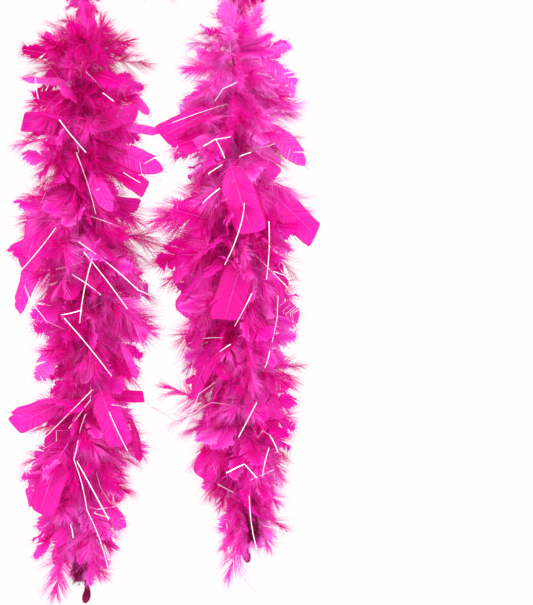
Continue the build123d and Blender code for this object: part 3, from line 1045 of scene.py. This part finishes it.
# Feathers and tinsel, one piece for each group of the frame's nodes
plumeSection = 0.094  # length of tail whose plumes make one piece
bareEnd = {"left": 0.050, "right": 0.040}
kinds = {
    "plumes": {
        "name": "downyPlumes", "shapes": plumeShapes, "material": downMaterial, "slot": "plume_down",
        "perMetre": plumes["perMetre"], "seed": 0, "section": plumeSection, "size": 1.0,
        "onTail": {}, "onNeck": {},
    },
    "vaned_feathers": {
        "name": "vanedFeathers", "shapes": vaneShapes, "material": vaneMaterial, "slot": "vane",
        "perMetre": vanes["perMetre"], "seed": 11, "section": 2 * plumeSection, "size": vanes["size"],
        "onTail": {"Roll Spread": 1.5}, "onNeck": {},
    },
    "tinsel": {
        "name": "tinsel", "shapes": tinselShapes, "material": silverTinsel, "slot": "tinsel_film",
        "perMetre": tinsel["perMetre"], "seed": 23, "section": 2 * plumeSection, "size": 1.0,
        "onTail": {"Lean Spread": 0.5, "Roll Spread": 3.1, "Root Offset": 0.012},
        "onNeck": {"Lean Spread": 0.5, "Roll Spread": 3.1},
    },
}
seeds = {"left": 0, "right": 1000, "neck": 2000}
growth = {
    "Size Spread": 0.25, "Lumps": 0.35, "Lean Spread": 0.55, "Droop": 0.12, "Roll Spread": 1.1,
    "Towards End": 1.0, "Worn": 0.0, "Root Offset": 0.0015, "Half Room": 0.190, "Front Room": 0.178,
    "Longest": 0.108, "Tone Shift": 0.0,
}
fullness = {  # size of the feathers at distances down each tail
    "left": [
        (0.0, 0.46), (0.047, 1.1), (0.094, 0.9), (0.16, 0.86), (0.21, 1.0), (0.26, 1.2), (0.35, 1.1),
        (0.42, 0.82), (0.5, 1.0), (0.55, 0.9), (0.6, 0.84), (0.645, 0.66),
    ],
    "right": [
        (0.0, 0.46), (0.047, 0.96), (0.094, 0.96), (0.14, 1.0), (0.19, 0.96), (0.235, 1.36), (0.33, 1.16),
        (0.38, 0.98), (0.42, 0.94), (0.47, 1.12), (0.51, 0.86), (0.55, 0.72), (0.6, 0.68),
    ],
}
toneDownTail = {
    "left": [(0.0, -0.3), (0.1, -0.15), (0.2, 0.0), (0.5, 0.0), (0.62, 0.25)],
    "right": [(0.0, 0.4), (0.1, 0.25), (0.2, 0.05), (0.5, 0.0), (0.6, 0.2)],
}
neckSettings = {
    "sizeFromNape": [(0.0, 0.74), (0.5, 0.64), (1.0, 0.2)], "leanFromNape": [(0.3, 0.1), (1.0, 0.5)],
    "Worn": 0.6, "Droop": 0.12,
}


def groupsOf(side):  # each group of feathers or strips on a side, as its node, kind and number
    found = []
    for node in sorted(frame["nodes"]):
        kind, _, number = node.partition("_" + side)
        if kind in kinds:
            found.append((node, kind, number.strip("_")))
    return found


def growPiece(node, kind, side, number, start, end, **changes):
    k = kinds[kind]
    values = dict(growth, **changes)
    values.update({
        "Route": routeCurves[side], "Shapes": k["shapes"], "Material": k["material"],
        "Start": start, "End": end, "Count": max(3, round((end - start) * k["perMetre"])),
        "Seed": seeds[side] + 37 * int(number or 1) + k["seed"],
    })
    piece = runTree(growthTree, k["name"] + side.capitalize() + number, values)
    if values.get("Placed"):
        bpy.data.objects.remove(values["Placed"])
    if side != "neck" and start < plumeSection / 2:
        bendAtShoulder(piece)
    else:
        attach(piece, bodies[side])
    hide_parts(node)


def readAlong(table, distance):
    return float(np.interp(distance, *zip(*table)))


def tailLean(distance, length):  # fanned up at the shoulder, along the cord at the end
    table = [(0.0, -0.6), (0.06, -0.3), (0.13, 0.15), (length - 0.13, 0.3), (length - 0.03, 0.95)]
    return readAlong(table, distance)


def growTails():
    for side in ("left", "right"):
        length = lengths[side]
        for node, kind, number in groupsOf(side):
            k = kinds[kind]
            start = (int(number) - 1) * k["section"]
            end = laidEnd = start + k["section"]
            if f"{kind}_{side}_{int(number) + 1}" not in frame["nodes"]:
                end = length - bareEnd[side]
                laidEnd = length
            middle = (start + end) / 2
            sizes = [k["size"] * readAlong(fullness[side], distance) for distance in (start, middle, end)]
            changes = {
                "Size At Start": sizes[0], "Size At Middle": sizes[1], "Size At End": sizes[2],
                "Lean At Start": tailLean(start, length), "Lean At End": tailLean(end, length),
                "Tone Shift": readAlong(toneDownTail[side], middle),
                "Placed": gatherPlaced(kind, side, start, laidEnd),
            }
            growPiece(node, kind, side, number, start, end, **dict(changes, **k["onTail"]))


def growNeck(s):
    length = lengths["neck"]
    groups = groupsOf("neck")
    for node, kind, number in groups:
        count = sum(1 for _, other, _ in groups if other == kind)
        start = length * (int(number or 1) - 1) / count
        end = start + length / count
        middle = (start + end) / 2
        fromNape = [abs(2 * distance / length - 1) for distance in (start, middle, end)]
        sizes = [readAlong(s["sizeFromNape"], share) for share in fromNape]
        leans = [readAlong(s["leanFromNape"], share) for share in fromNape]
        changes = {
            "Size At Start": sizes[0], "Size At Middle": sizes[1], "Size At End": sizes[2],
            "Lean At Start": leans[0], "Lean At End": leans[2],
            "Towards End": float(np.sign(round(middle / length - 0.5, 3))),
            "Worn": s["Worn"], "Droop": s["Droop"],
        }
        growPiece(node, kind, "neck", number, start, end, **dict(changes, **kinds[kind]["onNeck"]))


growTails()
growNeck(neckSettings)
faceCount = sum(len(o.data.polygons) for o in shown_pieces() if o.type == "MESH")
print("feathers grown", faceCount, "faces")


# Each end: a thread whipping on the cord, a bundle of frayed cord beside it and a stopper knot below
ends = {
    "whipping": {
        "Step": 0.0003, "Strands": 2, "Strand Offset": 0.0031, "Bulge": 0.0003, "Bulge Lowness": 1.0,
        "Strand Radius": 0.00055, "Twist Pitch": 0.0021,
    },
    "whippingFrom": 0.0285, "whippingTo": 0.0165,  # distances before the cord's end
    "bundle": {
        "Step": 0.0008, "Strands": 7, "Strand Offset": 0.0024, "Bulge": 0.0028, "Bulge Lowness": 1.0,
        "Strand Radius": 0.0010, "Twist Pitch": 0.034,
    },
    "stopper": {
        "Step": 0.0006, "Strands": 6, "Strand Offset": 0.0012, "Bulge": 0.0028, "Bulge Lowness": 1.7,
        "Strand Radius": 0.0014, "Twist Pitch": 0.026,
    },
    "bundleRoute": [(0, -2, 39), (-5, -13, 36), (-9, -20, 27), (-10, -21, 17), (-8, -17, 8)],
    "stopperRoute": [(0, 0, 1.5), (1.5, 0, -5), (0.5, 0, -13), (-2, 0, -21.5)],
    "parts": (("bundle", "endBundle", "end_knot"), ("stopper", "stopperKnot", "stopper_knot")),
    "threadLength": 0.011, "threadWidth": 0.0007, "threadsPerMetre": 7000,
    "threadGrowth": {
        "Size At Start": 0.8, "Size At Middle": 1.15, "Size At End": 0.9, "Lean At Start": 0.9,
        "Lean At End": 0.3, "Lean Spread": 0.5, "Roll Spread": 3.1, "Root Offset": 0.003, "Lumps": 0.0,
    },
}


def makeThreads(s):
    shapes = bpy.data.collections.new("threadShapes")
    for i in range(5):
        rng = np.random.default_rng(500 + i)
        sheet = Sheet()
        for _ in range(3):
            heading = (1.0, rng.uniform(-0.5, 0.5), rng.uniform(-0.5, 0.5))
            curl = np.array((-0.1, rng.uniform(-0.4, 0.4), rng.uniform(-0.6, 0.0)))
            length = s["threadLength"] * rng.uniform(0.6, 1.1)
            addBarb(sheet, np.zeros(3), heading, length, s["threadWidth"], curl, 0.5, 1)
        shapes.objects.link(sheet.makeObject(f"thread{i}"))
    return shapes


def finishEnd(name, tree, values, side, node=None):
    piece = runTree(tree, name + side.capitalize(), values)
    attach(piece, bodies[side])
    if node:
        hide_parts(f"{node}_{side}")


def makeEnds(s):
    threads = makeThreads(s)
    for side, mirror in (("left", 1), ("right", -1)):
        whipping = dict(
            s["whipping"], Route=routeCurves[side], Material=whippingThread,
            Start=lengths[side] - s["whippingFrom"], End=lengths[side] - s["whippingTo"],
        )
        finishEnd("endWhipping", strandTree, whipping, side, "end_whipping")
        last = routeLines[side][-1] / mm
        for part, name, node in s["parts"]:
            points = [tuple(last + np.array((mirror * x, y, z))) for x, y, z in s[part + "Route"]]
            route = makeRoute(name + side.capitalize(), points)
            routeCurves[part + side] = route
            length = lineLength(readRoute(route))
            values = dict(s[part], Route=route, Material=crimsonCord, Start=0.0, End=length)
            finishEnd(name, strandTree, values, side, node)
            if part == "bundle":
                values = dict(growth, **s["threadGrowth"])
                values.update({
                    "Route": route, "Shapes": threads, "Material": crimsonCord, "Start": 0.0, "End": length,
                    "Seed": 31 + mirror, "Count": round(length * s["threadsPerMetre"]),
                })
                finishEnd("frayedThreads", growthTree, values, side)


makeEnds(ends)
print("ends made")


stage = {
    "background": (1.0, 0.985, 0.99, 1),
    "floor": (0.86, 0.85, 0.86, 1), "floorRadius": 2.6, "floorHeight": -1.3,
    "lights": {  # place, size and power
        "keyLight": ((-1.6, -2.6, 1.4), 1.4, 75),
        "fillLight": ((2.2, -2.2, 0.2), 1.6, 30),
    },
}


def makeWorld(s):
    world = bpy.data.worlds.new("studio")
    world.use_nodes = True
    world.node_tree.nodes["Background"].inputs["Color"].default_value = s["background"]
    scene.world = world


def makeSoftbox(name, place, size, power):
    data = bpy.data.lights.new(name, "AREA")
    data.size = size
    data.energy = power
    light = bpy.data.objects.new(name, data)
    scene.collection.objects.link(light)
    light.location = place
    towards = Vector(cameraSettings["aim"]) - Vector(place)
    light.rotation_euler = towards.to_track_quat("-Z", "Y").to_euler()


def makeFloor(s):
    mesh = bpy.data.meshes.new("floor")
    angles = np.linspace(0, 2 * math.pi, 65)[:-1]
    radius = s["floorRadius"]
    rim = [(radius * math.cos(angle), radius * math.sin(angle), s["floorHeight"]) for angle in angles]
    mesh.from_pydata(rim, [], [tuple(range(len(rim)))])
    m = Shader("paleFloor")
    m.set(m.surface, {"Base Color": s["floor"], "Roughness": 0.9})
    mesh.materials.append(m.material)
    floor = bpy.data.objects.new("floor", mesh)
    scene.collection.objects.link(floor)
    floor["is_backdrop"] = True


makeWorld(stage)
for name, settings in stage["lights"].items():
    makeSoftbox(name, *settings)
makeFloor(stage)
print("stage made")

for route in routeCurves.values():
    bpy.data.objects.remove(route)
for node in frame["nodes"].values():
    if not node.hide_render:
        print("still plain:", node.name)
